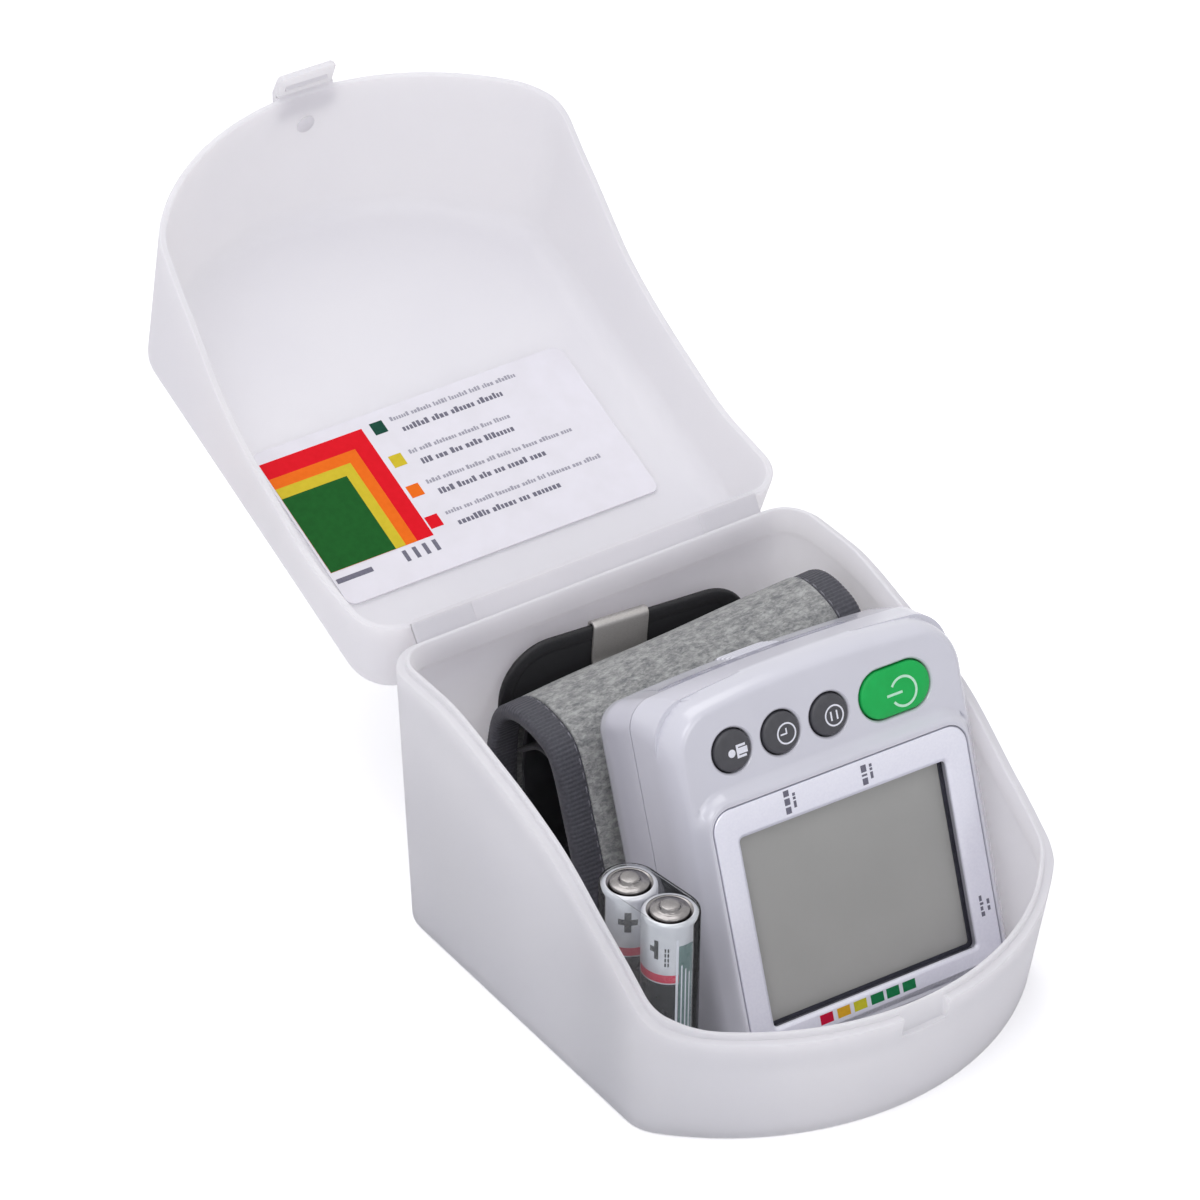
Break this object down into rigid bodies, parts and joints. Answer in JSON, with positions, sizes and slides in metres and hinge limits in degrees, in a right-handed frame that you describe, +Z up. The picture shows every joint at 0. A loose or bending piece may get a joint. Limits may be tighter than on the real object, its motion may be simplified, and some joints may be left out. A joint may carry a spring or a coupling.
{
  "type": "wrist blood pressure monitor",
  "caption": "Wrist blood pressure monitor with round keys, a power key and a rolled fabric cuff, standing in its hinged plastic case beside a pair of wrapped cells.",
  "frame": {"origin": "centre of the storage case's flat underside", "axes": "+Z up, +Y from the case's low front to its hinge, +X to the user's right"},
  "size_m": [0.0979, 0.2161, 0.1245],
  "materials": {
    "case_plastic": "satin, slightly translucent white",
    "printed_card": "smooth printed card",
    "shell_plastic": "pearl white, satin",
    "silver_paint": "satin silver",
    "clear_window": "clear, polished",
    "display_film": "grey, smooth",
    "key_rubber": "matt charcoal",
    "green_key": "satin green",
    "circuit_board": "solder mask green",
    "black_plastic": "moulded black",
    "steel": "nickel-plated, bright",
    "contact_brass": "bright",
    "soft_tube": "soft, milky",
    "cuff_felt": "heather grey brushed loop cloth",
    "clear_stiffener": "clear sheet",
    "binding_tape": "ribbed dark grey tape",
    "black_cloth": "black woven nylon",
    "nickel": "satin nickel",
    "cell_sleeve": "printed foil",
    "shrink_film": "clear thin film"
  },
  "bodies": {
    "case": {"case_base": "case_plastic", "living_hinge": "case_plastic"},
    "lid": {"case_lid": "case_plastic", "lid_label": "printed_card"},
    "monitor": {"front_shell": "shell_plastic", "rear_shell": "shell_plastic", "silver_bezel": "silver_paint", "display_lens": "clear_window", "display_glass": "display_film", "display_tray": "black_plastic", "display_connector_strip": "key_rubber", "keypad_mat": "key_rubber", "key_domes": "steel", "main_board": "circuit_board", "pressure_sensor": "black_plastic", "buzzer": "black_plastic", "controller_chip": "black_plastic", "memory_chip": "black_plastic", "crystal": "steel", "pump_motor": "steel", "pump_head": "black_plastic", "release_valve": "black_plastic", "air_tube": "soft_tube", "air_nozzle": "soft_tube", "battery_spring_left": "steel", "battery_spring_right": "steel", "battery_plate_left": "contact_brass", "battery_plate_right": "contact_brass", "case_screw_1": "steel", "case_screw_2": "steel", "case_screw_3": "steel", "case_screw_4": "steel", "cuff_plate": "black_plastic", "cuff_felt": "cuff_felt", "cuff_stiffener": "clear_stiffener", "air_bladder": "soft_tube", "cuff_lining": "black_cloth", "cuff_binding_left": "binding_tape", "cuff_binding_right": "binding_tape", "cuff_inner_tail": "black_cloth", "cuff_tongue": "black_cloth", "tongue_clip": "nickel"},
    "battery_cover_body": {"battery_cover": "shell_plastic"},
    "user_key": {"button_user": "key_rubber"},
    "clock_key": {"button_clock": "key_rubber"},
    "memory_key": {"button_memory": "key_rubber"},
    "power_key": {"button_power": "green_key"},
    "cells": {"cell_near_can": "steel", "cell_near_cap": "steel", "cell_near_sleeve": "cell_sleeve", "cell_far_can": "steel", "cell_far_cap": "steel", "cell_far_sleeve": "cell_sleeve", "cell_wrap": "shrink_film"}
  },
  "joints": [
    {"name": "lid_hinge", "type": "hinge", "parent": "case", "child": "lid", "pos_m": [0, 0.05554, 0.0612], "axis": [-1, 0, 0], "range_deg": [-167.7, 0]},
    {"name": "monitor_lift", "type": "slide", "parent": "case", "child": "monitor", "axis": [0, 0, 1], "range_m": [0, 0.075]},
    {"name": "cells_lift", "type": "slide", "parent": "case", "child": "cells", "axis": [0, 0, 1], "range_m": [0, 0.065]},
    {"name": "cover_slide", "type": "slide", "parent": "monitor", "child": "battery_cover_body", "axis": [0.0193, 0.3596, 0.9329], "range_m": [0, 0.03]},
    {"name": "user_press", "type": "slide", "parent": "monitor", "child": "user_key", "axis": [0.0228, 0.9327, -0.36], "range_m": [0, 0.0005], "stiffness_N_per_m": 600, "springref_m": -0.0004},
    {"name": "clock_press", "type": "slide", "parent": "monitor", "child": "clock_key", "axis": [0.0228, 0.9327, -0.36], "range_m": [0, 0.0005], "stiffness_N_per_m": 600, "springref_m": -0.0004},
    {"name": "memory_press", "type": "slide", "parent": "monitor", "child": "memory_key", "axis": [0.0228, 0.9327, -0.36], "range_m": [0, 0.0005], "stiffness_N_per_m": 600, "springref_m": -0.0004},
    {"name": "power_press", "type": "slide", "parent": "monitor", "child": "power_key", "axis": [0.0228, 0.9327, -0.36], "range_m": [0, 0.0005], "stiffness_N_per_m": 600, "springref_m": -0.0004}
  ]
}
